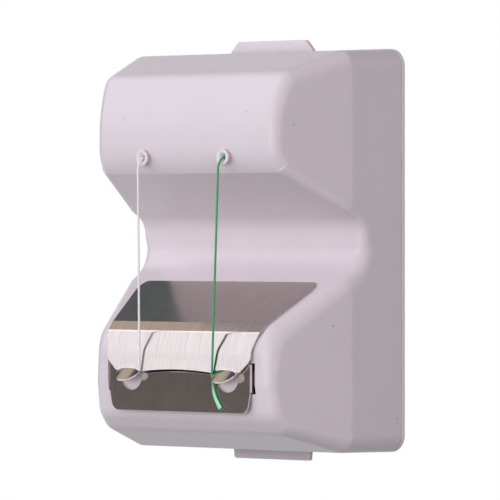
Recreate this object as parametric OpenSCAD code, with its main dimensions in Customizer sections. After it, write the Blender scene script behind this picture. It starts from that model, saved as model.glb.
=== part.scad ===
// Wall dispenser for two spools of dental floss.
// Millimetres, +Z up. X runs to the right and the front faces -Y.
// The wall is the plane Y = 0 and Z = 0 is half way up the cover.
// A depth d is measured from the front of the wall plate towards the user,
// and a height z from the bottom of the cover.

/* [Cover] */
// Width of the cover at the wall
cover_w = 159; // [154:0.5:166]
// Height of the cover at the wall
cover_h = 203; // [199:0.5:208]
// Wall thickness of the cover
wall_t = 2.4; // [2:0.1:2.8]
// Depth of the straight box before the sides taper
box_d = 34.8; // [33.5:0.1:36.5]
// Draft of the sides over the straight box, in degrees
side_draft = 2; // [1:0.25:3]
// Taper of the sides in front of the straight box, in degrees
side_taper = 21.5; // [18:0.5:23]
// Depth of the upper front
upper_d = 75.3; // [74.5:0.1:77]
// Depth where the sloping top ends
crease_d = 66.6; // [65.5:0.1:67]
// Drop from the top of the cover to the end of the sloping top
crease_drop = 12.4; // [11.5:0.1:13.5]
// Height of the chin, where the underside of the upper front begins
chin_z = 140.1; // [138.5:0.1:141]
// Depth of the waist between the two halves
waist_d = 26.6; // [25.5:0.1:28]
// Height at which the underside meets the waist
waist_top_z = 114.8; // [113.5:0.1:116]
// Height at which the lower slope meets the waist
waist_low_z = 94.8; // [93.5:0.1:96]
// Depth of the lower front
lower_d = 77.5; // [76.5:0.1:79]
// Height at which the lower slope meets the lower front
shelf_z = 59.8; // [59:0.1:61]
// Height below which the lower front leans back
foot_z = 34.5; // [33.5:0.1:35]

/* [Wall plate] */
// Thickness of the wall plate
plate_t = 2.6; // [2:0.1:3]
// Corner radius of the wall plate
plate_r = 9; // [8:0.5:10]
// Sideways spacing of the screw holes
screw_pitch_x = 100; // [90:1:105]
// Upright spacing of the screw holes
screw_pitch_z = 140; // [120:1:142]
// Diameter of the screw holes
screw_hole_dia = 4.5; // [4:0.1:5]
// Height of the rib that centres the cover
rib_h = 5; // [4:0.25:6]

/* [Latches] */
// Width of a thumb tab at the cover's edge
tab_w = 58; // [54:0.5:60]
// Width of a thumb tab at its free edge
tab_tip_w = 48; // [44:0.5:50]
// Length of a thumb tab beyond the cover
tab_out = 5.4; // [4.5:0.1:6]
// Thickness of a thumb tab
tab_t = 2.5; // [2:0.1:3]
// Depth of the front face of a thumb tab
tab_d = 11.5; // [11:0.1:11.6]
// Travel of a latch when it is pressed
latch_press = 3; // [2:0.25:3]
// Width of the latch slider
slider_w = 42; // [38:0.5:44]
// Radius of the latch spring, to the middle of the wire
spring_r = 2.6; // [2.2:0.1:2.8]
// Diameter of the spring wire
wire_dia = 0.8; // [0.6:0.05:0.9]
// Length of a thumb tab inside the edge of the cover
tab_root = 8; // [7.5:0.1:8.5]
// Radius of the outer corners of a thumb tab
tab_corner_r = 3; // [2:0.25:4]
// Height of a keeper strap
keeper_h = 6; // [5.5:0.1:6.5]
// Thickness of a keeper strap
keeper_t = 2; // [1.6:0.1:2.2]
// Width of a keeper's foot
keeper_foot_w = 8; // [7:0.1:8.4]
// Diameter of a keeper screw
keeper_screw_dia = 2.3; // [2:0.1:2.6]
// Diameter of a keeper screw's head
keeper_head_dia = 4.8; // [4.4:0.1:5.2]
// Height of a keeper screw's head
keeper_head_h = 1.65; // [1.4:0.05:1.8]

/* [Spools] */
// Diameter of the axle
axle_dia = 8; // [7.5:0.1:8.4]
// Sideways distance of each spool and eyelet from the middle
spool_x = 28.5; // [28:0.1:29]
// Width of a spool over its flanges
spool_w = 30; // [28:0.5:31]
// Diameter of a spool flange
flange_dia = 46; // [44:0.5:47]
// Thickness of a spool flange
flange_t = 1.5; // [1.2:0.1:1.8]
// Diameter of the spool core
core_dia = 16; // [14.5:0.5:18]
// Diameter of a full roll of floss
roll_dia = 40; // [38:0.5:41]
// Depth of the axle
axle_d = 47; // [46.5:0.1:47.5]
// Height of the axle above the chin
axle_rise = 22.9; // [22.5:0.1:23.4]
// Thickness of the spool frame
frame_t = 3; // [2.5:0.1:3.2]

/* [Eyelets] */
// Height of the eyelets above the chin
eyelet_rise = 8.1; // [7.8:0.1:8.4]
// Diameter of the eyelet rim
rim_dia = 8.4; // [8:0.1:9]
// Diameter of the eyelet neck
neck_dia = 6; // [5.6:0.1:6.2]
// Diameter of the hole the floss runs through
throat_dia = 2; // [1.8:0.1:2.2]

/* [Cutter plate] */
// Thickness of the cutter sheet
sheet_t = 0.9; // [0.7:0.05:1]
// Distance of the sheet's upper corners from the side of the cover
sheet_top_in = 12.4; // [12:0.1:14]
// Distance of the sheet's side from the side of the lower front, where it folds over the shelf
sheet_fold_in = 6.6; // [6:0.1:8]
// Distance of the sheet's side from the side of the lower front, below the lip
sheet_low_in = 12.1; // [11.8:0.1:14]
// Distance of the sheet's upper edge from the waist, along the slope
sheet_back = 17.4; // [16.5:0.1:19]
// Distance of the lip in front of the lower front
lip_out = 2.9; // [2.6:0.1:3.2]
// Height of the lower edge of the sheet
sheet_foot_z = 20.5; // [19.5:0.1:22]
// Height of the lip above the tongues
lip_z = 40.3; // [39.8:0.1:41]
// Sideways distance of each cutting tongue from the middle
tongue_x = 34; // [33.8:0.1:36]
// Width of a cutting tongue
tongue_w = 15; // [14:0.25:15.2]
// Length of a cutting tongue
tongue_l = 9; // [8.2:0.1:9.5]

/* [Floss] */
// Diameter of the floss
strand_dia = 1.2; // [1:0.05:1.3]

/* [Hidden] */
// Clearance between parts that don't rub, and in running bores
gap = 0.3;
run_gap = 0.1;
fit_gap = 0.05;
grey = [0.80, 0.77, 0.78];
white = [0.90, 0.90, 0.89];
steel = [0.62, 0.59, 0.56];

axle_z = chin_z + axle_rise;
eyelet_z = chin_z + eyelet_rise;
axle_r = axle_dia / 2;
bore_r = axle_r + run_gap;
rear_d = gap;
mid_z = cover_h / 2;

// Directions and roundings in a plane
function unit(v) = v / norm(v);
function left(u) = [-u[1], u[0]];
function heading(u) = atan2(u[1], u[0]);
function wrap(t) = t > 180 ? t - 360 : t < -180 ? t + 360 : t;
// Point at fraction f of the rounding of radius r at corner v, between directions u1 and u2
function round_pt(v, u1, u2, r, f) =
    let (t = wrap(heading(u2) - heading(u1)), s = sign(t), a = heading(u1) + t * f)
    v - u1 * r * tan(abs(t) / 2) + left(u1) * r * s - s * r * left([cos(a), sin(a)]);
// Closed outline with a radius and a number of steps as the third and fourth value of each corner
function rounded(c) =
    let (n = len(c))
    [for (i = [0:n - 1])
        let (v = [c[i][0], c[i][1]],
            a = [c[(i + n - 1) % n][0], c[(i + n - 1) % n][1]],
            b = [c[(i + 1) % n][0], c[(i + 1) % n][1]])
        for (j = [0:c[i][3]])
            c[i][3] == 0 ? v : round_pt(v, unit(v - a), unit(b - v), c[i][2], j / c[i][3])];

// Side profile of the cover, from the top at the rear to the bottom at the rear: depth, height,
// rounding radius and steps of each corner, and radius of the edge between profile and sides there
prof = [
    [rear_d, cover_h, 0, 0, 9],
    [box_d, cover_h - 1.5, 3.5, 2, 9],
    [crease_d, cover_h - crease_drop, 9, 4, 8],
    [upper_d, cover_h - 29.2, 58, 4, 7.5],
    [upper_d, chin_z + 6.9, 22.2, 4, 7],
    [upper_d - 5.7, chin_z, 3.5, 2, 5.2],
    [waist_d, waist_top_z, 12, 5, 5],
    [waist_d, waist_low_z, 15, 5, 7.5],
    [lower_d, shelf_z, 20, 6, 10.5],
    [lower_d, foot_z, 12, 2, 7.5],
    [lower_d - 4.2, foot_z - 14.9, 8, 2, 7.5],
    [lower_d - 11.5, foot_z - 22.2, 9.5, 3, 8.5],
    [box_d, 0.5, 3.5, 2, 9],
    [rear_d, 0, 0, 0, 9]];
last = len(prof) - 1;
edge_steps = 5;
shelf = 8;

function corner(k) = [prof[k][0], prof[k][1]];
function run(k) = unit(corner(k + 1) - corner(k));
// Corner of the path of the ball that rolls along the edge, and the rounding of that path
function ball_corner(k) =
    let (n1 = left(run(k - 1)), n2 = left(run(k)))
    corner(k) - (n1 + n2) * prof[k][4] / (1 + n1 * n2);
function ball_round(k) =
    let (t = wrap(heading(run(k)) - heading(run(k - 1))))
    t > 0 ? prof[k][2] + prof[k][4] : max(prof[k][2] - prof[k][4], 0.5);
// A station is: point of the profile, centre of the ball, outward normal, radius of the ball
function station(k, f) =
    let (u1 = run(k - 1), u2 = run(k), a = heading(u1) + wrap(heading(u2) - heading(u1)) * f)
    [round_pt(corner(k), u1, u2, prof[k][2], f),
        round_pt(ball_corner(k), u1, u2, ball_round(k), f),
        left([cos(a), sin(a)]), prof[k][4]];
function end_station(k, n) = [corner(k), corner(k) - n * prof[k][4], n, prof[k][4]];
function blend(p, q, f) = [for (i = [0:3]) p[i] + (q[i] - p[i]) * f];
first_station = end_station(0, left(run(0)));
last_station = end_station(last, left(run(last - 1)));
// Fractions of a straight stretch where the ball rolls past the line at which the sides start to taper
function crossings(p, q) =
    let (a = p[1][0], b = q[1][0], r = p[3], w = r / 4)
    [for (d = b > a ? [-w, 0, w] : [w, 0, -w])
        let (f = (line_d(r) + d - a) / (b - a))
        if (f > 0.02 && f < 0.98) f];
function before(k) = k == 1 ? first_station : station(k - 1, 1);
function upto(k) = k == last ? last_station : station(k, 0);
stations = concat([first_station],
    [for (k = [1:last])
        let (p = before(k), q = upto(k))
        each concat([for (f = crossings(p, q)) blend(p, q, f)],
            k == last ? [last_station] : [for (j = [0:prof[k][3]]) station(k, j / prof[k][3])])]);
rows = len(stations);

// Half width of the outside at depth d
function half(d) = cover_w / 2 - tan(side_draft) * min(d, box_d)
    - tan(side_taper) * max(0, d - box_d);
// Depth and half width of the taper line, and half width at the rear, of a wall s inside the outside
function line_d(s) = box_d - s * (1 / cos(side_taper) - 1 / cos(side_draft))
    / (tan(side_taper) - tan(side_draft));
function line_x(s) = cover_w / 2 - tan(side_draft) * line_d(s) - s / cos(side_draft);
function rear_x(s) = cover_w / 2 - tan(side_draft) * rear_d - s / cos(side_draft);
// Angle at which the ball meets the side
function side_angle(st) =
    let (w = st[3] / 4, f = (st[1][0] - line_d(st[3]) + w) / (2 * w))
    side_draft + (side_taper - side_draft) * min(1, max(0, f));
// Point at fraction f of the rounded edge of a station, s inside the outside
function edge_pt(st, f, s) =
    let (a = side_angle(st), n = [0, st[2][0], st[2][1]], m = [cos(a), sin(a), 0],
        w = acos(n * m), c = [half(st[1][0] + st[3] * sin(a)) - st[3] * cos(a), st[1][0], st[1][1]],
        e = st[0] - st[1] - st[2] * st[3])
    c + (st[3] - s) * (sin((1 - f) * w) * n + sin(f * w) * m) / sin(w)
        + (1 - f) * (1 - f) * [0, e[0], e[1]];
function at_rear(p) = [p[0], rear_d, p[2]];
function flip(p) = [-p[0], p[1], p[2]];
// One row of points across the cover: rear, taper line and rounded edge, each side
function half_row(k, s) =
    let (st = stations[k], end = k == 0 || k == rows - 1,
        e = [for (i = [0:edge_steps]) edge_pt(st, i / edge_steps, s)],
        z = e[edge_steps][2])
    concat([for (p = e) end ? at_rear(p) : p], [[line_x(s), line_d(s), z], [rear_x(s), rear_d, z]]);
function full_row(k, s) =
    let (h = half_row(k, s), n = len(h))
    concat([for (i = [n - 1:-1:0]) flip(h[i])], h);
cols = 2 * (edge_steps + 3);
skin_pts = [for (s = [0, wall_t]) for (k = [0:rows - 1]) for (p = full_row(k, s)) place(p)];
function place(p) = [p[0], -plate_t - p[1], p[2] - mid_z];
// Column that a point falls together with: the taper line joins the edge behind that line,
// and the rear joins the edge in the first and last row
function joins(k, i, s) =
    let (j = i < cols / 2 ? cols - 1 - i : i, e = cols - 3,
        q = edge_pt(stations[k], 1, s),
        t = (k == 0 || k == rows - 1) && j > e ? e
            : j == cols - 2 && q[1] < line_d(s) + 0.15 ? e : j)
    i < cols / 2 ? cols - 1 - t : t;
join_table = [for (s = [0, wall_t]) for (k = [0:rows - 1]) for (i = [0:cols - 1])
    (s == 0 ? 0 : rows * cols) + k * cols + joins(k, i, s)];
function id(k, i, o) = join_table[o + k * cols + i];
function quad(a, b, c, d) = [[a, b, c], [a, c, d]];
function skin_faces(o) = [for (k = [0:rows - 2]) for (i = [0:cols - 2])
    each quad(id(k, i, o), id(k, i + 1, o), id(k + 1, i + 1, o), id(k + 1, i, o))];
// Rim at the open rear, round both skins
ring = concat([for (i = [0:cols - 1]) [0, i]], [for (k = [1:rows - 1]) [k, cols - 1]],
    [for (i = [cols - 2:-1:0]) [rows - 1, i]], [for (k = [rows - 2:-1:1]) [k, 0]]);
rim_faces = [for (i = [0:len(ring) - 1])
    let (p = ring[i], q = ring[(i + 1) % len(ring)], o = rows * cols)
    each quad(id(q[0], q[1], 0), id(p[0], p[1], 0), id(p[0], p[1], o), id(q[0], q[1], o))];
function turned(f) = [for (t = f) [t[2], t[1], t[0]]];
function sound(f) = [for (t = f) if (t[0] != t[1] && t[1] != t[2] && t[0] != t[2]) t];

module cover_shell() {
    polyhedron(skin_pts, sound(concat(skin_faces(0), turned(skin_faces(rows * cols)), rim_faces)));
}

// Pieces given by their limits: across, depth and height
module block(x0, x1, d0, d1, z0, z1) {
    translate([x0, -plate_t - d1, z0 - mid_z])
        cube([x1 - x0, d1 - d0, z1 - z0]);
}
module rod_x(x0, x1, d, z, r) {
    translate([x0, -plate_t - d, z - mid_z])
        rotate([0, 90, 0])
            cylinder(h = x1 - x0, r = r, $fn = 64);
}
module rod_y(x, z, d0, d1, r) {
    translate([x, -plate_t - d0, z - mid_z])
        rotate([90, 0, 0])
            cylinder(h = d1 - d0, r = r, $fn = 48);
}
module both_sides() {
    children();
    mirror([1, 0, 0])
        children();
}
// Outline in X and Z, from depth d0 to d1
module front_slab(outline, d0, d1) {
    translate([0, -plate_t - d0, -mid_z])
        rotate([90, 0, 0])
            linear_extrude(height = d1 - d0)
                polygon(outline);
}
// Outline in depth and Z, from x0 to x1
module side_slab(outline, x0, x1) {
    translate([x0, -plate_t, -mid_z])
        rotate([90, 0, 90])
            linear_extrude(height = x1 - x0)
                polygon([for (p = outline) [-p[0], p[1]]]);
}
// Round bar along a path, with the rings square to it
module swept(path, r, sides, ref) {
    n = len(path);
    pts = [for (i = [0:n - 1])
        let (t = unit(path[min(i + 1, n - 1)] - path[max(i - 1, 0)]),
            e = unit(cross(t, ref)), f = cross(t, e))
        for (j = [0:sides - 1])
            path[i] + r * cos(360 * j / sides) * e + r * sin(360 * j / sides) * f];
    faces = concat(
        [for (i = [0:n - 2]) for (j = [0:sides - 1])
            let (a = i * sides + j, b = i * sides + (j + 1) % sides)
            each quad(a, b, b + sides, a + sides)],
        [for (j = [1:sides - 2]) [0, j + 1, j]],
        [for (j = [1:sides - 2]) [(n - 1) * sides, (n - 1) * sides + j, (n - 1) * sides + j + 1]]);
    polyhedron(pts, turned(faces));
}

// Wall plate: screw holes, centring rib, latch guides and spring posts
guide_x = slider_w / 2 + gap;
rib_x = rear_x(wall_t) - 1;
rib_z = wall_t + 0.9;
strap_x = guide_x + 2;
module wall_plate() {
    color(grey)
    difference() {
        union() {
            block(-cover_w / 2 + plate_r, cover_w / 2 - plate_r, -plate_t, 0, 0, cover_h);
            block(-cover_w / 2, cover_w / 2, -plate_t, 0, plate_r, cover_h - plate_r);
            for (x = [-1, 1], z = [plate_r, cover_h - plate_r])
                rod_y(x * (cover_w / 2 - plate_r), z, -plate_t, 0, plate_r);
            both_sides() {
                block(rib_x - 1.5, rib_x, -0.5, rib_h, 14, cover_h - 14);
                block(38, rib_x - 8, -0.5, rib_h, rib_z, rib_z + 1.5);
                block(38, rib_x - 8, -0.5, rib_h, cover_h - rib_z - 1.5, cover_h - rib_z);
            }
            for (x = [-1, 1], z = [-1, 1])
                rod_y(x * screw_pitch_x / 2, mid_z + z * screw_pitch_z / 2,
                    -0.5, 2, screw_hole_dia / 2 + 3.5);
            plate_latch_seat();
            mirror([0, 0, 1])
                plate_latch_seat();
        }
        for (x = [-1, 1], z = [-1, 1])
            rod_y(x * screw_pitch_x / 2, mid_z + z * screw_pitch_z / 2,
                -plate_t - 1, 3, screw_hole_dia / 2);
        keeper_holes();
        mirror([0, 0, 1])
            keeper_holes();
    }
}
slider_z = cover_h - 29;
post_z = slider_z - 14;
keeper_z = cover_h - 19;
keeper_x = guide_x + 4 + keeper_foot_w / 2;
keeper_screw_z = keeper_z + keeper_h / 2;
keeper_screw_l = plate_t - 0.7;
slider_t = 3;
keeper_d = gap + slider_t + gap;
module plate_latch_seat() {
    both_sides()
        block(guide_x, guide_x + 1.6, -0.5, 3.2, slider_z - latch_press, keeper_z - 0.5);
    block(-5, 5, -0.5, 6.8, post_z - 2.5, post_z);
    both_sides()
        block(-5, -3.5, -0.5, 3, post_z - 6, post_z);
}
module keeper_holes() {
    both_sides()
        rod_y(keeper_x, keeper_screw_z, -keeper_screw_l - 0.1, 1, keeper_screw_dia / 2 + fit_gap);
}

// Latch: slider under the keeper, spring seat and thumb tab
bridge_top = cover_h - tab_root + 3;
module latch() {
    block(-slider_w / 2, slider_w / 2, gap, gap + slider_t, slider_z, bridge_top);
    block(-5, 5, gap, 6.8, slider_z - 2, slider_z + 2);
    block(-slider_w / 2 + 1, slider_w / 2 - 1, slider_t, tab_d - tab_t / 2,
        cover_h - tab_root, bridge_top);
    both_sides()
        block(8, 10, slider_t, tab_d - tab_t / 2, keeper_z + keeper_h + latch_press + gap, bridge_top);
    front_slab(rounded([
        [-tab_w / 2, cover_h - tab_root, 1, 2],
        [tab_w / 2, cover_h - tab_root, 1, 2],
        [tab_w / 2, cover_h, 0, 0],
        [tab_tip_w / 2, cover_h + tab_out, tab_corner_r, 4],
        [-tab_tip_w / 2, cover_h + tab_out, tab_corner_r, 4],
        [-tab_w / 2, cover_h, 0, 0]]), tab_d - tab_t, tab_d);
}
module latch_top() {
    color(grey)
    latch();
}
module latch_bottom() {
    color(grey)
    mirror([0, 0, 1])
        latch();
}

// Latch springs, between the post of the plate and the seat of the slider
spring_from = post_z + wire_dia / 2 + fit_gap;
spring_to = slider_z - 2 - wire_dia / 2 - fit_gap;
spring_turns = 5;
spring_path = [for (i = [0:12 * spring_turns])
    [spring_r * cos(30 * i), -plate_t - 3.6 + spring_r * sin(30 * i),
        spring_from + (spring_to - spring_from) * i / (12 * spring_turns) - mid_z]];
module latch_spring() {
    swept(spring_path, wire_dia / 2 - 0.02, 6, [0, 0, 1]);
}
module latch_spring_top() {
    color(steel)
    latch_spring();
}
module latch_spring_bottom() {
    color(steel)
    mirror([0, 0, 1])
        latch_spring();
}

// Keepers: straps that hold the sliders against the plate
keeper_foot = keeper_x + keeper_foot_w / 2;
keeper_head_d = keeper_d + keeper_t + fit_gap;
module latch_keeper() {
    difference() {
        union() {
            block(-keeper_foot, keeper_foot, keeper_d, keeper_d + keeper_t, keeper_z, keeper_z + keeper_h);
            both_sides()
                block(keeper_foot - keeper_foot_w, keeper_foot, fit_gap, keeper_d + keeper_t / 2,
                    keeper_z, keeper_z + keeper_h);
        }
        both_sides()
            rod_y(keeper_x, keeper_screw_z, -1, keeper_d + keeper_t + 1, keeper_screw_dia / 2 + gap);
    }
}
module latch_keeper_top() {
    color(grey)
    latch_keeper();
}
module latch_keeper_bottom() {
    color(grey)
    mirror([0, 0, 1])
        latch_keeper();
}
module keeper_screws() {
    color(steel)
    for (m = [0, 1])
        mirror([0, 0, m])
            both_sides() {
                rod_y(keeper_x, keeper_screw_z, -keeper_screw_l, keeper_head_d + keeper_head_h / 2,
                    keeper_screw_dia / 2);
                rod_y(keeper_x, keeper_screw_z, keeper_head_d, keeper_head_d + keeper_head_h,
                    keeper_head_dia / 2);
            }
}

// Cover: shell, screw posts, notches for the tabs, eyelet holes and ear slots
notch_x = tab_w / 2 + 1;
notch_d = tab_d + 1;
frame_d = notch_d - 0.3;
post_x = 33;
post_up = cover_h - 16;
post_low = waist_low_z + 6.2;
low_x = half(lower_d) - sheet_low_in;
ear_x = low_x - 0.4;
ear_z = sheet_foot_z + 10.5;
ear_h = 14;
module cover() {
    color(grey)
    difference() {
        union() {
            cover_shell();
            both_sides() {
                block(post_x - 3.5, post_x + 3.5, frame_d + frame_t + fit_gap, frame_d + 14,
                    post_up - 4, cover_h - 2);
                rod_y(post_x, post_low, frame_d + frame_t + fit_gap, waist_d - 1, 3.5);
            }
        }
        block(-notch_x, notch_x, -1, notch_d, cover_h - 6, cover_h + 1);
        block(-notch_x, notch_x, -1, notch_d, -1, 6);
        both_sides() {
            rod_y(post_x, post_up, frame_d, frame_d + 12, 1.3);
            rod_y(post_x, post_low, frame_d, frame_d + 9, 1.3);
            rod_y(spool_x, eyelet_z, upper_d - 12, upper_d + 5, neck_dia / 2 + fit_gap);
            block(ear_x - 1.2, ear_x + sheet_t + 1.2, lower_d - 10, lower_d + 3,
                ear_z - 0.7, ear_z + ear_h + 0.7);
        }
    }
}

// Spool frame: a web screwed to the cover's posts, and two cheeks that carry the axle
cheek_x = spool_x + spool_w / 2 + 1.5;
frame_x = cheek_x + frame_t;
module spool_frame() {
    color(white)
    difference() {
        union() {
            block(-frame_x, frame_x, frame_d, frame_d + frame_t, post_low - 6, cover_h - 12);
            both_sides() {
                block(cheek_x, frame_x, frame_d + 1, axle_d, axle_z - 12, axle_z + 12);
                rod_x(cheek_x, frame_x, axle_d, axle_z, 12);
            }
        }
        block(-cheek_x + 9, cheek_x - 9, frame_d - 1, frame_d + frame_t + 1, 118, post_up - 12);
        both_sides() {
            rod_x(cheek_x - 1, frame_x + 1, axle_d, axle_z, axle_r + fit_gap);
            rod_y(post_x, post_up, frame_d - 1, frame_d + frame_t + 1, 1.6);
            rod_y(post_x, post_low, frame_d - 1, frame_d + frame_t + 1, 1.6);
        }
    }
}
module frame_screws() {
    color(steel)
    both_sides()
        for (z = [post_up, post_low]) {
            rod_y(post_x, z, frame_d - 1, frame_d + 8.5, 1.25);
            rod_y(post_x, z, frame_d - 1.6, frame_d - fit_gap, 2.6);
        }
}

// Axle with a groove at each end, its clips and the spacer between the spools
module spool_axle() {
    color(steel)
    difference() {
        rod_x(-frame_x - 3, frame_x + 3, axle_d, axle_z, axle_r);
        both_sides()
            difference() {
                rod_x(frame_x + 0.15, frame_x + 1.25, axle_d, axle_z, axle_r + 1);
                rod_x(frame_x, frame_x + 1.4, axle_d, axle_z, axle_r - 0.6);
            }
    }
}
module axle_clips() {
    color(steel)
    both_sides()
        difference() {
            rod_x(frame_x + 0.2, frame_x + 1.2, axle_d, axle_z, axle_r + 3);
            rod_x(frame_x, frame_x + 1.4, axle_d, axle_z, axle_r - 0.55);
            block(frame_x, frame_x + 1.4, axle_d - axle_r + 0.8, axle_d + axle_r - 0.8,
                axle_z - axle_r - 4, axle_z - 1);
        }
}
module spool_spacer() {
    color(white)
    difference() {
        rod_x(-spool_x + spool_w / 2 + gap, spool_x - spool_w / 2 - gap, axle_d, axle_z, bore_r + 2.4);
        rod_x(-spool_x, spool_x, axle_d, axle_z, bore_r);
    }
}
module drag_washer() {
    difference() {
        rod_x(cheek_x - 1.2, cheek_x - 0.2, axle_d, axle_z, 9);
        rod_x(cheek_x - 2, cheek_x + 1, axle_d, axle_z, bore_r);
    }
}
module drag_washer_left() {
    color(steel)
    mirror([1, 0, 0])
        drag_washer();
}
module drag_washer_right() {
    color(steel)
    drag_washer();
}

// Spools: a core and two flanges, the outer one with four round windows
spool_in = spool_x - spool_w / 2;
spool_out = spool_x + spool_w / 2;
module spool() {
    difference() {
        union() {
            rod_x(spool_in, spool_out, axle_d, axle_z, core_dia / 2);
            rod_x(spool_in, spool_in + flange_t, axle_d, axle_z, flange_dia / 2);
            rod_x(spool_out - flange_t, spool_out, axle_d, axle_z, flange_dia / 2);
        }
        rod_x(spool_in - 1, spool_out + 1, axle_d, axle_z, bore_r);
        for (a = [45:90:315])
            rod_x(spool_out - flange_t - 0.02, spool_out + 1, axle_d + 14 * cos(a), axle_z + 14 * sin(a), 3);
    }
}
module spool_left() {
    color(white)
    mirror([1, 0, 0])
        spool();
}
module spool_right() {
    color(white)
    spool();
}
module floss_roll() {
    difference() {
        rod_x(spool_in + flange_t + fit_gap, spool_out - flange_t - fit_gap, axle_d, axle_z, roll_dia / 2);
        rod_x(spool_in, spool_out, axle_d, axle_z, core_dia / 2 + fit_gap);
    }
}
module floss_roll_left() {
    color([0.88, 0.88, 0.85])
    mirror([1, 0, 0])
        floss_roll();
}
module floss_roll_right() {
    color([0.62, 0.84, 0.75])
    floss_roll();
}

// Eyelets: neck, funnel and rolled rim, with a push-on ring behind the wall
rim_d = upper_d + 1.8;
neck_r = neck_dia / 2;
rim_r = rim_dia / 2;
throat_r = throat_dia / 2;
eyelet_back = upper_d - 8.6;
module eyelet() {
    translate([spool_x, -plate_t, eyelet_z - mid_z])
        rotate([90, 0, 0])
            rotate_extrude($fn = 64)
                polygon([
                    [throat_r, eyelet_back + 0.6], [throat_r + 0.5, eyelet_back], [neck_r, eyelet_back],
                    [neck_r, rim_d - 1.3], [rim_r - 0.5, rim_d - 1.2], [rim_r - 0.1, rim_d - 0.9],
                    [rim_r, rim_d - 0.5], [rim_r - 0.15, rim_d - 0.15], [rim_r - 0.5, rim_d],
                    [rim_r - 0.9, rim_d - 0.15], [rim_r - 1.2, rim_d - 0.6], [throat_r + 0.9, rim_d - 1.7],
                    [throat_r + 0.25, rim_d - 2.6], [throat_r, rim_d - 3.6]]);
}
module eyelet_left() {
    color(white)
    mirror([1, 0, 0])
        eyelet();
}
module eyelet_right() {
    color(white)
    eyelet();
}
module eyelet_ring() {
    difference() {
        rod_y(spool_x, eyelet_z, upper_d - 7.6, upper_d - 6.6, neck_r + 2.2);
        rod_y(spool_x, eyelet_z, upper_d - 9, upper_d - 5, neck_r + fit_gap);
    }
}
module eyelet_ring_left() {
    color(steel)
    mirror([1, 0, 0])
        eyelet_ring();
}
module eyelet_ring_right() {
    color(steel)
    eyelet_ring();
}

// Cutter plate: one sheet laid on the lower slope and folded over the shelf into a lip,
// with a lower part behind the lip, two tongues, two half moon windows and two side ears
slope = run(shelf - 1);
sheet_up = corner(shelf - 1) + slope * sheet_back + left(slope) * (sheet_t + fit_gap);
// The folds follow the rounding of the shelf: where two lines round its middle cross,
// at fractions f1 and f2 of the turn, a distance s outside the cover
shelf_mid = corner(shelf) - (left(slope) + [1, 0]) * prof[shelf][2] / (1 + left(slope) * [1, 0]);
shelf_turn = heading(left(slope));
function fold_pt(f1, f2, s) =
    let (a = shelf_turn * (1 - (f1 + f2) / 2))
    shelf_mid + [cos(a), sin(a)] * (prof[shelf][2] + s) / cos(shelf_turn * (f2 - f1) / 2);
sheet_fold = fold_pt(0, 0.186, sheet_t + fit_gap);
sheet_brow = fold_pt(0.186, 0.668, sheet_t + gap + fit_gap);
bend_z = shelf_z - 7.8;
lip_d = lower_d + lip_out;
sheet_run = [
    [sheet_up[0], sheet_up[1], 0],
    [sheet_fold[0], sheet_fold[1], 3],
    [sheet_brow[0], sheet_brow[1], 8],
    [lip_d - 1.3, bend_z, 22],
    [lip_d, lip_z, 0]];
function sheet_pt(i) = [sheet_run[i][0], sheet_run[i][1]];
function sheet_dir(i) = unit(sheet_pt(i + 1) - sheet_pt(i));
// Points of the outer face of the sheet with their outward directions
sheet_line = concat([[sheet_pt(0), left(sheet_dir(0))]],
    [for (i = [1:3]) for (j = [0:3])
        let (u1 = sheet_dir(i - 1), u2 = sheet_dir(i),
            a = heading(u1) + wrap(heading(u2) - heading(u1)) * j / 3)
        [round_pt(sheet_pt(i), u1, u2, sheet_run[i][2], j / 3), left([cos(a), sin(a)])]],
    [[sheet_pt(4), left(sheet_dir(3))]]);
sheet_side = concat([for (p = sheet_line) p[0]],
    [for (i = [len(sheet_line) - 1:-1:0]) sheet_line[i][0] - sheet_line[i][1] * sheet_t]);
top_x = half(sheet_up[0]) - sheet_top_in;
fold_x = half(lower_d) - sheet_fold_in;
upper_front = rounded([
    [-top_x, sheet_up[1], 3.5, 4],
    [-fold_x, sheet_fold[1], 0, 0],
    [-low_x - 1.3, bend_z, 0, 0],
    [-low_x - 1.2, lip_z + 3.5, 6, 4],
    [-low_x + 6, lip_z, 6, 4],
    [low_x - 6, lip_z, 6, 4],
    [low_x + 1.2, lip_z + 3.5, 6, 4],
    [low_x + 1.3, bend_z, 0, 0],
    [fold_x, sheet_fold[1], 0, 0],
    [top_x, sheet_up[1], 3.5, 4]]);
low_d = lower_d + fit_gap;
lower_front = rounded([
    [-low_x, bend_z, 0, 0],
    [-low_x, sheet_foot_z + 9.5, 0, 0],
    [-low_x + 2, sheet_foot_z, 4, 4],
    [low_x - 2, sheet_foot_z, 4, 4],
    [low_x, sheet_foot_z + 9.5, 0, 0],
    [low_x, bend_z, 0, 0]]);
module tongue() {
    translate([tongue_x, -plate_t - lip_d + 0.6, lip_z - 0.2 - mid_z])
        rotate([45, 0, 0]) {
            translate([-tongue_w / 2, tongue_w / 2 - tongue_l, 0])
                cube([tongue_w, tongue_l - tongue_w / 2 + 0.4, sheet_t]);
            intersection() {
                translate([0, tongue_w / 2 - tongue_l, 0])
                    cylinder(h = sheet_t, r = tongue_w / 2, $fn = 64);
                translate([-tongue_w, -tongue_l - 1, -1])
                    cube([2 * tongue_w, tongue_w / 2 + 1.1, sheet_t + 2]);
            }
        }
}
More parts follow.
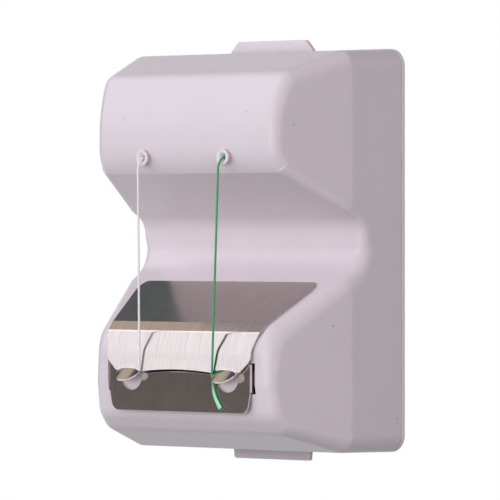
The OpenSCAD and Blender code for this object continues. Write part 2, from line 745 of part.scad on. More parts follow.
module cutter_plate() {
    color(steel)
    difference() {
        union() {
            intersection() {
                side_slab(sheet_side, -top_x - 1, top_x + 1);
                front_slab(upper_front, waist_d, lower_d + 8);
            }
            front_slab(lower_front, low_d, low_d + sheet_t);
            both_sides() {
                tongue();
                block(ear_x, ear_x + sheet_t, lower_d - 5.9, low_d + sheet_t, ear_z, ear_z + ear_h);
            }
        }
        both_sides() {
            block(tongue_x - tongue_w / 2, tongue_x + tongue_w / 2, lower_d - 1, low_d + sheet_t + 0.3,
                lip_z - 1.8, lip_z + 1);
            rod_y(tongue_x, lip_z - 1.8, lower_d - 1, low_d + sheet_t + 0.3, tongue_w / 2);
        }
    }
}
module plate_clip() {
    difference() {
        block(ear_x - 2, ear_x + sheet_t + 2, lower_d - 7, lower_d - wall_t - 0.4,
            ear_z + 3, ear_z + ear_h - 3);
        block(ear_x - fit_gap, ear_x + sheet_t + fit_gap, lower_d - 6, lower_d,
            ear_z + 2, ear_z + ear_h - 2);
    }
}
module plate_clip_left() {
    color(steel)
    mirror([1, 0, 0])
        plate_clip();
}
module plate_clip_right() {
    color(steel)
    plate_clip();
}

// Floss strands, from the roll through the eyelet and down to the cutter plate
function strand(x, pts) = [for (p = pts) place([x * p[0], p[1], p[2]])];
roll_touch = roll_dia / 2 + strand_dia / 2 + fit_gap;
to_eyelet = [eyelet_back - 0.8, eyelet_z] - [axle_d, axle_z];
touch_angle = atan2(to_eyelet[1], to_eyelet[0]) - acos(roll_touch / norm(to_eyelet));
touch = [axle_d, axle_z] + roll_touch * [cos(touch_angle), sin(touch_angle)];
strand_foot = lip_d + strand_dia / 2 + 0.1;
strand_low = lip_z + 0.7;
function strand_x(z) = spool_x - 2.9 * (eyelet_z - z) / (eyelet_z - strand_low);
function strand_front(z) = rim_d + 2.4
    + (strand_foot - rim_d - 2.4) * (eyelet_z - 6 - z) / (eyelet_z - 6 - strand_low);
strand_start = concat(
    [for (f = [0:0.2:1])
        [spool_x, touch[0] + (eyelet_back - 0.8 - touch[0]) * f, touch[1] + (eyelet_z - touch[1]) * f]],
    [[spool_x, eyelet_back + 1.5, eyelet_z], [spool_x, eyelet_back + 4.5, eyelet_z],
        [spool_x, rim_d - 2.4, eyelet_z], [spool_x, rim_d - 0.7, eyelet_z - 0.5],
        [spool_x, rim_d + 0.6, eyelet_z - 1.5], [spool_x, rim_d + 1.6, eyelet_z - 3],
        [strand_x(eyelet_z - 5), rim_d + 2.2, eyelet_z - 5]]);
strand_drop = [for (f = [0:1 / 24:1])
    let (z = eyelet_z - 8 + (lip_z + 2 - eyelet_z + 8) * f)
    [strand_x(z), strand_front(z), z]];
white_end = [[strand_x(lip_z + 0.4), strand_foot, lip_z + 0.4]];
green_end = [[25.5, strand_foot, lip_z], [25.3, strand_foot - 0.6, lip_z - 3],
    [25.2, strand_foot - 1.1, lip_z - 6], [25.2, low_d + sheet_t + 1.1, lip_z - 9],
    [26, low_d + sheet_t + 1, lip_z - 11.5], [27.6, low_d + sheet_t + 1, lip_z - 14.2],
    [29.8, low_d + sheet_t + 1, lip_z - 17.4]];
module floss_strand_white() {
    color([0.93, 0.93, 0.92])
    swept(strand(-1, concat(strand_start, strand_drop, white_end)), strand_dia / 2, 8, [1, 0, 0]);
}
module floss_strand_green() {
    color([0.62, 0.84, 0.75])
    swept(strand(1, concat(strand_start, strand_drop, green_end)), strand_dia / 2, 8, [1, 0, 0]);
}

wall_plate();
latch_top();
latch_bottom();
latch_spring_top();
latch_spring_bottom();
latch_keeper_top();
latch_keeper_bottom();
keeper_screws();
cover();
spool_frame();
frame_screws();
spool_axle();
axle_clips();
spool_spacer();
drag_washer_left();
drag_washer_right();
spool_left();
spool_right();
floss_roll_left();
floss_roll_right();
eyelet_left();
eyelet_right();
eyelet_ring_left();
eyelet_ring_right();
cutter_plate();
plate_clip_left();
plate_clip_right();
floss_strand_white();
floss_strand_green();
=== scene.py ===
from math import acos, atan2, ceil, cos, degrees, pi, radians, sin, tan

import bmesh
import bpy
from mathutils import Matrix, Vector


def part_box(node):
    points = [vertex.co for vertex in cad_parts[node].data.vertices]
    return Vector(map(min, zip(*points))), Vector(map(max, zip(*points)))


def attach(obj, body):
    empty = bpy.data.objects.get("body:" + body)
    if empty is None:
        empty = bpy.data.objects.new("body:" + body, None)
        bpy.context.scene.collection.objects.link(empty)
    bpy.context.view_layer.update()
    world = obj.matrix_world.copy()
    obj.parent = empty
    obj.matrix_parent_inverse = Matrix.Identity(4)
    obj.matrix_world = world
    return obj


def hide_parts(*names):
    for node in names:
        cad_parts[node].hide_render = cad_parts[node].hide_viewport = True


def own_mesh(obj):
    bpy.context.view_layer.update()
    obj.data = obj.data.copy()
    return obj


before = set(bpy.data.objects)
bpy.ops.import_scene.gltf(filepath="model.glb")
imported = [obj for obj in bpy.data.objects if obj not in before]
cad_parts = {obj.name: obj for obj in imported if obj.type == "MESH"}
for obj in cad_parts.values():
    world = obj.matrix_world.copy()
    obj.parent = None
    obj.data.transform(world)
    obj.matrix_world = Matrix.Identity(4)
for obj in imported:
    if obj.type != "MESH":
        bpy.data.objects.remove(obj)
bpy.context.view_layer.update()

scene = bpy.context.scene
scene.view_settings.view_transform = "Standard"


# ---- Camera ---------------------------------------------------------------------------------
# A long lens almost three metres away, level with the dispenser and 44 degrees to its right.
# It is moved down on its film rather than tilted, so upright edges stay upright.
view_turn = radians(44)
view_right = Vector((cos(view_turn), sin(view_turn), 0))
view_back = Vector((sin(view_turn), -cos(view_turn), 0))
long_lens = bpy.data.cameras.new("long_lens")
long_lens.sensor_width = 36
long_lens.lens = 388.8
long_lens.shift_y = -0.044
camera = bpy.data.objects.new("camera", long_lens)
camera.location = Vector((0, -0.0026, 0.0113)) - view_right * 0.01893 + view_back * 2.768
camera.rotation_euler = (radians(90), 0, view_turn)
scene.collection.objects.link(camera)
scene.camera = camera


# ---- Floss strands --------------------------------------------------------------------------
# Bulk floss: a round waxed nylon thread of three plies, one white and one mint green. Each comes
# off its roll, runs through its eyelet and hangs down to the cutter plate, where the green one
# goes on past the lip and ends in a flat, slightly opened tail.
plate_thick = 2.6
half_height = 101.5


def at(across, depth, height):
    """Point in metres, from millimetres across, in front of the wall plate and above the cover's foot."""
    return Vector((across, -plate_thick - depth, height - half_height)) / 1000


def linear(hex_colour):
    """sRGB hex colour as linear red, green, blue and alpha."""
    parts = [int(hex_colour[i:i + 2], 16) / 255 for i in (0, 2, 4)]
    return [p / 12.92 if p <= 0.04045 else ((p + 0.055) / 1.055) ** 2.4 for p in parts] + [1.0]


def add_node(tree, kind, settings=None, values=None, links=None):
    """Adds a node with its properties, the values of its inputs and the sources they are linked to."""
    node = tree.nodes.new(kind)
    for name, value in (settings or {}).items():
        setattr(node, name, value)
    for name, value in (values or {}).items():
        node.inputs[name].default_value = value
    for name, source in (links or {}).items():
        tree.links.new(source, node.inputs[name])
    return node


def new_finish(name, **values):
    """A material with its shader's own values set. Returns the material, its tree and its shader."""
    material = bpy.data.materials.new(name)
    material.use_nodes = True
    tree = material.node_tree
    shader = tree.nodes["Principled BSDF"]
    for key, value in values.items():
        shader.inputs[key.replace("_", " ")].default_value = value
    return material, tree, shader


def add_piece(name, mesh, body, material):
    """Puts a finished mesh into the scene, riding on a body."""
    mesh.name = name
    mesh.materials.clear()
    mesh.materials.append(material)
    piece = bpy.data.objects.new(name, mesh)
    scene.collection.objects.link(piece)
    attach(piece, body)
    return piece


def mesh_of(points, faces):
    """A mesh from points and faces, with doubles merged and turned the right way out."""
    bm = bmesh.new()
    verts = [bm.verts.new(p) for p in points]
    for face in faces:
        corners = [verts[i] for i in face]
        if len(set(corners)) > 2:
            bm.faces.new(corners)
    bmesh.ops.remove_doubles(bm, verts=bm.verts, dist=2e-7)
    bmesh.ops.dissolve_degenerate(bm, edges=bm.edges, dist=2e-7)
    bmesh.ops.recalc_face_normals(bm, faces=bm.faces)
    if bm.calc_volume(signed=True) < 0:
        bmesh.ops.reverse_faces(bm, faces=bm.faces)
    mesh = bpy.data.meshes.new("mesh")
    bm.to_mesh(mesh)
    bm.free()
    return mesh


def applied(mesh, modifiers):
    """The mesh after some modifiers, each given by its kind and settings."""
    holder = bpy.data.objects.new("holder", mesh)
    scene.collection.objects.link(holder)
    for kind, settings in modifiers:
        modifier = holder.modifiers.new("step", kind)
        for name, value in settings.items():
            if name.startswith("Socket_"):
                modifier[name] = value
            else:
                setattr(modifier, name, value)
    graph = bpy.context.evaluated_depsgraph_get()
    made = bpy.data.meshes.new_from_object(holder.evaluated_get(graph))
    bpy.data.objects.remove(holder)
    return made


def shade(mesh, crease):
    """Smooth shading that keeps flats flat, with edges sharper than crease, in degrees, left crisp."""
    bm = bmesh.new()
    bm.from_mesh(mesh)
    for face in bm.faces:
        face.smooth = True
    for edge in bm.edges:
        edge.smooth = not (len(edge.link_faces) == 2 and edge.calc_face_angle(0) > radians(crease))
    bm.to_mesh(mesh)
    bm.free()
    return applied(mesh, [("WEIGHTED_NORMAL", {"keep_sharp": True})])


def through(points, step):
    """Points at an even step along a smooth curve through the given ones."""
    ends = [points[0] * 2 - points[1], *points, points[-1] * 2 - points[-2]]
    fine = []
    for a, b, c, d in zip(ends, ends[1:], ends[2:], ends[3:]):
        for k in range(24):
            t = k / 24
            fine.append((b * 2 + (c - a) * t + (a * 2 - b * 5 + c * 4 - d) * t * t
                         + (b * 3 - a - c * 3 + d) * t ** 3) / 2)
    fine.append(points[-1])
    lengths = [0]
    for a, b in zip(fine, fine[1:]):
        lengths.append(lengths[-1] + (b - a).length)
    count = max(2, round(lengths[-1] / step))
    evenly, k = [], 0
    for i in range(count + 1):
        want = lengths[-1] * i / count
        while k < len(lengths) - 2 and lengths[k + 1] < want:
            k += 1
        share = (want - lengths[k]) / max(lengths[k + 1] - lengths[k], 1e-12)
        evenly.append(fine[k].lerp(fine[k + 1], min(1, max(0, share))))
    return evenly, lengths[-1]


floss_d = 1.2
eyelet_x = 28.5
lip_height = 40.3
lip_depth = 80.4
eyelet_height = 148.2
eyelet_back = 66.7
rim_depth = 77.1
roll_leave = (54.49, 143.76)
hang_depth = lip_depth + floss_d / 2 + 0.1
sheet_face = 78.45


def strand_route(side, tail):
    """The strand's points, from its roll through its eyelet and down to the cutter plate."""
    route = []
    for k in range(4):
        f = k / 4
        route.append((eyelet_x, roll_leave[0] + (eyelet_back - 0.8 - roll_leave[0]) * f,
                      roll_leave[1] + (eyelet_height - roll_leave[1]) * f))
    for depth, drop in ((eyelet_back - 0.8, 0), (eyelet_back + 2.5, 0), (rim_depth - 2.4, 0),
                        (rim_depth - 0.7, 0.5), (rim_depth + 0.6, 1.5), (rim_depth + 1.6, 3)):
        route.append((eyelet_x, depth, eyelet_height - drop))
    for k in range(15):
        f = k / 14
        height = eyelet_height - 5 + (lip_height + 2 - eyelet_height + 5) * f
        out = (eyelet_height - 6 - height) / (eyelet_height - 6 - 41)
        # both strands hang a little towards the middle of the lip
        route.append((eyelet_x - 2.9 * (eyelet_height - height) / (eyelet_height - 41),
                      rim_depth + 2.4 + (hang_depth - rim_depth - 2.4) * max(out, -0.01), height))
    return [at(side * x, d, z) for x, d, z in route + tail]


def thread_mesh(route, turns_per_mm, spread):
    """Three twisted plies along a route. spread(f) is the width and thickness at f of the length."""
    line, length = through(route, 0.0003)
    sides, reference = 18, Vector((1, 0, 0))
    points, faces, along = [], [], []
    for i, p in enumerate(line):
        ahead = (line[min(i + 1, len(line) - 1)] - line[max(i - 1, 0)]).normalized()
        across = (reference - ahead * reference.dot(ahead)).normalized()
        up = ahead.cross(across)
        width, thick = spread(i / (len(line) - 1))
        twist = 2 * pi * turns_per_mm * length * 1000 * i / (len(line) - 1)
        for j in range(sides):
            a = 2 * pi * j / sides
            r = floss_d / 2000 * (0.80 + 0.20 * abs(cos(1.5 * (a - twist))))
            points.append(p + across * (r * cos(a) * width) + up * (r * sin(a) * thick))
    for i in range(len(line) - 1):
        for j in range(sides):
            a, b = i * sides + j, i * sides + (j + 1) % sides
            faces.append((a, b, b + sides, a + sides))
    faces.append(tuple(range(sides)))
    faces.append(tuple(range((len(line) - 1) * sides, len(line) * sides)))
    mesh = mesh_of(points, faces)
    return shade(mesh, 60), length, through(route, length / 36)[0]


def floss_finish(name, colour, shade_colour, tail_colour):
    """Waxed nylon thread: soft sheen, darker between the plies and paler where it opens out."""
    material, tree, shader = new_finish(name, Roughness=0.45, Sheen_Weight=0.25, Sheen_Roughness=0.4)
    coords = add_node(tree, "ShaderNodeTexCoord")
    # fibres about 0.1 mm thick, drawn 0.25 mm wide so that they show
    fibres = add_node(tree, "ShaderNodeTexNoise", values={"Scale": 4000, "Detail": 3},
                      links={"Vector": coords.outputs["Object"]})
    mix = add_node(tree, "ShaderNodeMix", {"data_type": "RGBA"},
                   {6: linear(shade_colour), 7: linear(colour)}, {0: fibres.outputs["Fac"]})
    height = add_node(tree, "ShaderNodeSeparateXYZ", links={0: coords.outputs["Object"]})
    near_end = add_node(tree, "ShaderNodeMapRange",
                        values={"From Min": -0.066, "From Max": -0.070},
                        links={"Value": height.outputs["Z"]})
    pale = add_node(tree, "ShaderNodeMix", {"data_type": "RGBA"}, {7: linear(tail_colour)},
                    {0: near_end.outputs["Result"], 6: mix.outputs[2]})
    bump = add_node(tree, "ShaderNodeBump", values={"Strength": 0.3, "Distance": 0.0001},
                    links={"Height": fibres.outputs["Fac"]})
    tree.links.new(pale.outputs[2], shader.inputs["Base Color"])
    tree.links.new(bump.outputs["Normal"], shader.inputs["Normal"])
    return material


def round_thread(f):
    return 1, 1


def opened_tail(f):
    """Round until its last 14 mm, then flatter and wider."""
    open_share = min(1, max(0, (f - 0.905) / 0.095))
    return 1 + 1.25 * open_share, 1 - 0.35 * open_share


white_tail = [(25.6, hang_depth, lip_height + 0.4)]
green_tail = [(25.5, hang_depth, lip_height), (25.3, hang_depth - 0.6, lip_height - 3),
              (25.2, hang_depth - 1.1, lip_height - 6), (25.2, sheet_face + 1.1, lip_height - 9),
              (26, sheet_face + 1, lip_height - 11.5), (27.6, sheet_face + 1, lip_height - 14.2),
              (29.8, sheet_face + 1, lip_height - 17.4)]
strands = [
    ("white_strand", "floss_strand_white", "floss_white", -1, white_tail, round_thread,
     floss_finish("waxed_nylon_white", "fffdfb", "e4dddd", "fffdfb")),
    ("green_strand", "floss_strand_green", "floss_green", 1, green_tail, opened_tail,
     floss_finish("waxed_nylon_mint", "47b272", "228a4f", "a6ecc4"))]
for name, node, slot, side, tail, spread, material in strands:
    route = strand_route(side, tail)
    mesh, length, line = thread_mesh(route, 0.3, spread)
    strand = add_piece(name, mesh, "cover", material)
    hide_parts(node)


# ---- Wall plate -----------------------------------------------------------------------------
# The plate that is screwed to the wall. It is injection moulded from off-white ABS, 2.6 mm thick,
# with screw bosses, a rib that centres the cover, and the guides of the two latches.


def edge_rounded(mesh, width, angle=50, parts=2):
    """The mesh with edges sharper than an angle rounded, over a width in mm."""
    return applied(mesh, [("BEVEL", {"width": width / 1000, "segments": parts, "limit_method": "ANGLE",
                                     "angle_limit": radians(angle)})])


def softened(node, edge, crease=35, parts=2):
    """A copy of a CAD node's mesh with its doubles merged, its flats whole and its edges rounded."""
    bm = bmesh.new()
    bm.from_mesh(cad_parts[node].data)
    bmesh.ops.remove_doubles(bm, verts=bm.verts, dist=1e-6)
    bmesh.ops.dissolve_limit(bm, angle_limit=radians(0.5), verts=bm.verts, edges=bm.edges)
    mesh = bpy.data.meshes.new("copy")
    bm.to_mesh(mesh)
    bm.free()
    return shade(edge_rounded(mesh, edge, 40, parts), crease)


def moulded_finish(name, colour, tint, roughness, grain, depth, specks=False):
    """Injection-moulded plastic: nearly one colour, with a faint flow mottle and a fine skin."""
    material, tree, shader = new_finish(name, Roughness=roughness, IOR=1.53)
    coords = add_node(tree, "ShaderNodeTexCoord")
    # flow mottle, about 25 mm across
    flow = add_node(tree, "ShaderNodeTexNoise", values={"Scale": 40, "Detail": 2},
                    links={"Vector": coords.outputs["Object"]})
    mix = add_node(tree, "ShaderNodeMix", {"data_type": "RGBA"},
                   {6: linear(colour), 7: linear(tint)}, {0: flow.outputs["Fac"]})
    # skin of the moulded surface, grain given in mm
    skin = add_node(tree, "ShaderNodeTexNoise", values={"Scale": 1000 / grain, "Detail": 3},
                    links={"Vector": coords.outputs["Object"]})
    bump = add_node(tree, "ShaderNodeBump", values={"Strength": 0.25, "Distance": depth / 1000},
                    links={"Height": skin.outputs["Fac"]})
    if specks:
        # a few dark specks in the plastic, 0.8 mm across at most
        spots = add_node(tree, "ShaderNodeTexVoronoi", values={"Scale": 75},
                         links={"Vector": coords.outputs["Object"]})
        dark = add_node(tree, "ShaderNodeMapRange", values={"From Min": 0.035, "From Max": 0.018},
                        links={"Value": spots.outputs["Distance"]})
        mix = add_node(tree, "ShaderNodeMix", {"data_type": "RGBA"}, {7: linear("6f666b")},
                       {0: dark.outputs["Result"], 6: mix.outputs[2]})
    tree.links.new(mix.outputs[2], shader.inputs["Base Color"])
    tree.links.new(bump.outputs["Normal"], shader.inputs["Normal"])
    return material


# paler than the cover: the plate's own off-white tone, lifted further as a painted highlight that stands
# in for the bright rim along its edge; the keepers share it
plate_abs_painted_highlight = moulded_finish("moulded_abs_matt_painted_highlight", "ece4ea", "e6dde4", 0.38, 0.6, 0.03)
piece = add_piece("plate", softened("wall_plate", 0.45), "wall_plate", plate_abs_painted_highlight)
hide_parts("wall_plate")


# ---- Latches --------------------------------------------------------------------------------
# Two sliders of off-white ABS that hold the cover. Each has a thumb tab that stands out of the
# edge of the cover and is pressed towards it.
cover_abs = moulded_finish("moulded_abs_glossy", "ded4da", "d9cfd5", 0.34, 1.1, 0.02, specks=True)
for node in ("latch_top", "latch_bottom"):
    mesh = softened(node, 0.7, parts=3)
    if node == "latch_bottom":
        # its tab has nearly upright ends: narrower at the cover and wider at its free edge
        slider_half, tab_out, root_share, tip_share = 0.022, 5.4, 0.931, 1.104
        for v in mesh.vertices:
            if abs(v.co.x) > slider_half:
                out = min(1, max(0, (-half_height - v.co.z * 1000) / tab_out))
                v.co.x *= root_share + (tip_share - root_share) * out
    piece = add_piece(node + "_slider", mesh, node, cover_abs)
    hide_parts(node)


# ---- Latch springs --------------------------------------------------------------------------
# A small compression spring behind each latch, wound from 0.8 mm spring steel wire in five
# turns. It stands between a post of the plate and the seat of its latch.
spring_steel, tree, shader = new_finish("drawn_spring_steel", Metallic=1.0, Roughness=0.3,
                                        Base_Color=linear("a8a8a6"))
coords = add_node(tree, "ShaderNodeTexCoord")
# draw marks, about 0.2 mm apart
marks = add_node(tree, "ShaderNodeTexNoise", values={"Scale": 5000, "Detail": 2},
                 links={"Vector": coords.outputs["Object"]})
bump = add_node(tree, "ShaderNodeBump", values={"Strength": 0.2, "Distance": 0.00002},
                links={"Height": marks.outputs["Fac"]})
tree.links.new(bump.outputs["Normal"], shader.inputs["Normal"])


def group_tree(name, sizes):
    """A Geometry Nodes tree with named inputs. Returns the tree, its input and its output node."""
    tree = bpy.data.node_groups.new(name, "GeometryNodeTree")
    for size, kind in sizes.items():
        tree.interface.new_socket(size, in_out="INPUT", socket_type=kind)
    tree.interface.new_socket("Geometry", in_out="OUTPUT", socket_type="NodeSocketGeometry")
    return tree, tree.nodes.new("NodeGroupInput"), tree.nodes.new("NodeGroupOutput")


def grown(tree, values, move):
    """The mesh that a Geometry Nodes tree makes from these input values, moved to its place."""
    settings = {"node_group": tree}
    for item in tree.interface.items_tree:
        if item.in_out == "INPUT" and item.name in values:
            settings[item.identifier] = values[item.name]
    mesh = applied(bpy.data.meshes.new("base"), [("NODES", settings)])
    for vertex in mesh.vertices:
        vertex.co = move(vertex.co)
    return mesh


# A wound wire: a spiral line with a round wire round it
winding, sizes, result = group_tree("winding", {
    "Turns": "NodeSocketFloat", "Height": "NodeSocketFloat", "Radius": "NodeSocketFloat",
    "Wire": "NodeSocketFloat", "Steps": "NodeSocketInt", "Material": "NodeSocketMaterial"})
line = add_node(winding, "GeometryNodeCurveSpiral",
                links={"Resolution": sizes.outputs["Steps"], "Rotations": sizes.outputs["Turns"],
                       "Start Radius": sizes.outputs["Radius"], "End Radius": sizes.outputs["Radius"],
                       "Height": sizes.outputs["Height"]})
wire = add_node(winding, "GeometryNodeCurvePrimitiveCircle", values={"Resolution": 10},
                links={"Radius": sizes.outputs["Wire"]})
wound = add_node(winding, "GeometryNodeCurveToMesh", values={"Fill Caps": True},
                 links={"Curve": line.outputs["Curve"], "Profile Curve": wire.outputs["Curve"]})
whole = add_node(winding, "GeometryNodeRealizeInstances", links={"Geometry": wound.outputs["Mesh"]})
finished = add_node(winding, "GeometryNodeSetMaterial",
                    links={"Geometry": whole.outputs["Geometry"],
                           "Material": sizes.outputs["Material"]})
winding.links.new(finished.outputs["Geometry"], result.inputs[0])

for side, name in ((1, "top"), (-1, "bottom")):
    node = "latch_spring_" + name
    low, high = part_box(node)
    middle = (low + high) / 2
    wire_r = 0.00038
    start = low.z + wire_r if side > 0 else high.z - wire_r

    def stand(p, side=side, start=start, middle=middle):
        return Vector((p.x, middle.y + p.y, start + side * p.z))

    mesh = grown(winding, {"Turns": 5.0, "Height": high.z - low.z - 2 * wire_r, "Radius": 0.0026,
                           "Wire": wire_r, "Steps": 40, "Material": spring_steel}, stand)
    bm = bmesh.new()
    bm.from_mesh(mesh)
    bmesh.ops.recalc_face_normals(bm, faces=bm.faces)
    bm.to_mesh(mesh)
    bm.free()
    spring = add_piece("spring_" + name, shade(mesh, 60), "wall_plate", spring_steel)
    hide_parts(node)
    length = high.z - low.z
    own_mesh(spring)


# ---- Keepers and their screws ---------------------------------------------------------------
# Straps of off-white ABS over the sliders, each held to the plate by two zinc plated screws.
for name in ("top", "bottom"):
    node = "latch_keeper_" + name
    piece = add_piece("keeper_" + name, softened(node, 0.35), "wall_plate", plate_abs_painted_highlight)
    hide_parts(node)
zinc_steel, tree, shader = new_finish("zinc_plated_steel", Metallic=1.0, Roughness=0.32,
                                      Base_Color=linear("bcbcbf"))
coords = add_node(tree, "ShaderNodeTexCoord")
# spangle of the plating, about 1 mm across
spangle = add_node(tree, "ShaderNodeTexNoise", values={"Scale": 1000, "Detail": 2},
                   links={"Vector": coords.outputs["Object"]})
tone = add_node(tree, "ShaderNodeMix", {"data_type": "RGBA"},
                {6: linear("a9a9ad"), 7: linear("cacacb")}, {0: spangle.outputs["Fac"]})
tree.links.new(tone.outputs[2], shader.inputs["Base Color"])
for node, name, body in (("keeper_screws", "keeper_screw_set", "wall_plate"),
                         ("frame_screws", "frame_screw_set", "cover")):
    piece = add_piece(name, softened(node, 0.25), body, zinc_steel)
    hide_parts(node)


# ---- Cover ----------------------------------------------------------------------------------
# One injection-moulded shell of glossy off-white ABS, 2.4 mm thick and open at the wall. Its
# profile bulges twice with a waist between. Its sides are drafted by 2 degrees up to a depth of
# 34.8 mm and then lean in by 21.5, and a rolling ball rounds the edges between profile and sides.
cover_w, wall, rear = 159.0, 2.4, 0.3
box_depth, draft, taper = 34.8, radians(2), radians(21.5)
# depth, height, rounding of the profile there and radius of the edge to the sides
profile = [
    (rear, 203, 0, 9), (box_depth, 201.5, 3.5, 9), (66.6, 190.6, 9, 8), (75.3, 173.8, 58, 7.5),
    (75.3, 147.0, 22.2, 7), (69.6, 140.1, 3.5, 5.2), (26.6, 114.8, 12, 5), (26.6, 94.8, 15, 7.5),
    (77.5, 59.8, 20, 10.5), (77.5, 34.5, 12, 7.5), (74.8, 18.2, 12, 7.5), (67.3, 10.0, 12, 8),
    (box_depth, 0.5, 3.5, 9), (rear, 0, 0, 9)]


def corner(k):
    return Vector(profile[k][:2])


def run(k):
    return (corner(k + 1) - corner(k)).normalized()


def left(v):
    return Vector((-v.y, v.x))


def turn_at(k):
    """Turn of the profile at a corner, in radians."""
    a, b = run(k - 1), run(k)
    return atan2(a.x * b.y - a.y * b.x, a.dot(b))


def rounding(v, u1, turn, radius, f):
    """Point at share f of a rounding at corner v, where direction u1 turns."""
    s = 1 if turn > 0 else -1
    a = atan2(u1.y, u1.x) + turn * f
    return (v - u1 * radius * tan(abs(turn) / 2) + left(u1) * radius * s
            - left(Vector((cos(a), sin(a)))) * s * radius)


def ball_corner(k):
    n1, n2 = left(run(k - 1)), left(run(k))
    return corner(k) - (n1 + n2) * profile[k][3] / (1 + n1.dot(n2))


def ball_round(k):
    return profile[k][2] + profile[k][3] if turn_at(k) > 0 else max(profile[k][2] - profile[k][3], 0.5)


def station(k, f):
    """Point of the profile, middle of the ball, outward direction, and radius of the ball."""
    u, t = run(k - 1), turn_at(k)
    a = atan2(u.y, u.x) + t * f
    return (rounding(corner(k), u, t, profile[k][2], f),
            rounding(ball_corner(k), u, t, ball_round(k), f),
            left(Vector((cos(a), sin(a)))), profile[k][3])


def end_station(k, n):
    return corner(k), corner(k) - n * profile[k][3], n, profile[k][3]


def taper_depth(s):
    """Depth of the line where a side starts to lean in, for a skin s inside the outer one."""
    return box_depth - s * (1 / cos(taper) - 1 / cos(draft)) / (tan(taper) - tan(draft))


def half_width(depth):
    return cover_w / 2 - tan(draft) * min(depth, box_depth) - tan(taper) * max(0, depth - box_depth)


def stations():
    last = len(profile) - 1
    found = [end_station(0, left(run(0)))]
    for k in range(1, last + 1):
        p = found[-1]
        q = end_station(last, left(run(last - 1))) if k == last else station(k, 0)
        a, b, r = p[1].x, q[1].x, p[3]
        shares = [(taper_depth(r) + d - a) / (b - a) for d in (-r / 4, -r / 8, 0, r / 8, r / 4)
                  if abs(b - a) > 1e-9]
        stretch = (q[0] - p[0]).length
        if stretch > 3:
            shares += [0.7 / stretch, 1 - 0.7 / stretch]
        for f in sorted(f for f in shares if 0.01 < f < 0.99):
            found.append((p[0].lerp(q[0], f), p[1].lerp(q[1], f), p[2].lerp(q[2], f).normalized(),
                          p[3] + (q[3] - p[3]) * f))
        if k == last:
            found.append(q)
        else:
            steps = max(4, ceil(abs(degrees(turn_at(k))) / 2.5))
            found += [station(k, j / steps) for j in range(steps + 1)]
    return found


def skin_row(st, end, s):
    """Half a row of points over the cover, from the flat front over the edge to the rear."""
    point, middle, normal, r = st
    f = min(1, max(0, (middle.x - taper_depth(r) + r / 4) / (r / 2)))
    a = draft + (taper - draft) * f
    n, m = Vector((0, normal.x, normal.y)), Vector((cos(a), sin(a), 0))
    w = acos(max(-1, min(1, n.dot(m))))
    c = Vector((half_width(middle.x + r * sin(a)) - r * cos(a), middle.x, middle.y))
    e = point - middle - normal * r
    steps = 18
    row = []
    for i in range(steps + 1):
        g = i / steps
        row.append(c + (n * sin((1 - g) * w) + m * sin(g * w)) * ((r - s) / sin(w))
                   + Vector((0, e.x, e.y)) * (1 - g) ** 2)
    if end:
        row = [Vector((p.x, rear, p.z)) for p in row]
        edge = row[-1]
        return [row[0] - Vector((1, 0, 0))] + row + [edge] * 8
    edge = row[-1]
    side_at = cover_w / 2 - s / cos(draft)
    back = Vector((side_at - tan(draft) * rear, rear, edge.z))
    crease = Vector((side_at - tan(draft) * taper_depth(s), taper_depth(s), edge.z))
    if edge.y < taper_depth(s) + 0.15:
        crease = edge
    lean, straight = crease - edge, back - crease
    soft = min(1.1, 0.45 * lean.length)
    row_end = []
    first = edge + lean.normalized() * 0.8 if lean.length > 4 else edge
    row_end.append(first)
    if lean.length > 1e-6:
        p, q = crease - lean.normalized() * soft, crease + straight.normalized() * soft
        for j in range(6):
            g = j / 5
            row_end.append(p * (1 - g) ** 2 + crease * 2 * g * (1 - g) + q * g * g)
    else:
        near = crease + straight.normalized() * min(0.8, straight.length / 2)
        row_end += [edge, edge, edge, edge, edge, near]
    return [row[0] - Vector((1, 0, 0))] + row + row_end + [back]


def skin(s):
    rows = []
    found = stations()
    for i, st in enumerate(found):
        half = skin_row(st, i in (0, len(found) - 1), s)
        rows.append([Vector((-p.x, p.y, p.z)) for p in reversed(half)] + half)
    return rows


def shell_mesh(outer_rows, inner_rows):
    """A closed shell from an outer and an inner skin, joined by a rim round the open rear."""
    points, faces, rings = [], [], []
    for rows, outward in ((outer_rows, True), (inner_rows, False)):
        base, wide = len(points), len(rows[0])
        points += [at(*p) for row in rows for p in row]
        for i in range(len(rows) - 1):
            for j in range(wide - 1):
                a = base + i * wide + j
                face = (a, a + wide, a + wide + 1, a + 1)
                faces.append(face if outward else face[::-1])
        high = len(rows) - 1
        rings.append([base + j for j in range(wide)]
                     + [base + i * wide + wide - 1 for i in range(1, high + 1)]
                     + [base + high * wide + j for j in range(wide - 2, -1, -1)]
                     + [base + i * wide for i in range(high - 1, 0, -1)])
    outer, inner = rings
    for i in range(len(outer)):
        j = (i + 1) % len(outer)
        faces.append((outer[i], outer[j], inner[j], inner[i]))
    return mesh_of(points, faces)


def box_cutter(x0, x1, d0, d1, z0, z1):
    bm = bmesh.new()
    bmesh.ops.create_cube(bm, size=1)
    low, high = at(x0, d1, z0), at(x1, d0, z1)
    for v in bm.verts:
        v.co = Vector([low[i] + (high[i] - low[i]) * (v.co[i] + 0.5) for i in range(3)])
    return bm


def bore_cutter(x, z, d0, d1, r, sides=48):
    bm = bmesh.new()
    rings = [[bm.verts.new(at(x + r * cos(2 * pi * j / sides), d, z + r * sin(2 * pi * j / sides)))
              for j in range(sides)] for d in (d0, d1)]
    for j in range(sides):
        k = (j + 1) % sides
        bm.faces.new((rings[0][j], rings[0][k], rings[1][k], rings[1][j]))
    bm.faces.new(rings[0][::-1])
    bm.faces.new(rings[1])
    bmesh.ops.recalc_face_normals(bm, faces=bm.faces)
    return bm


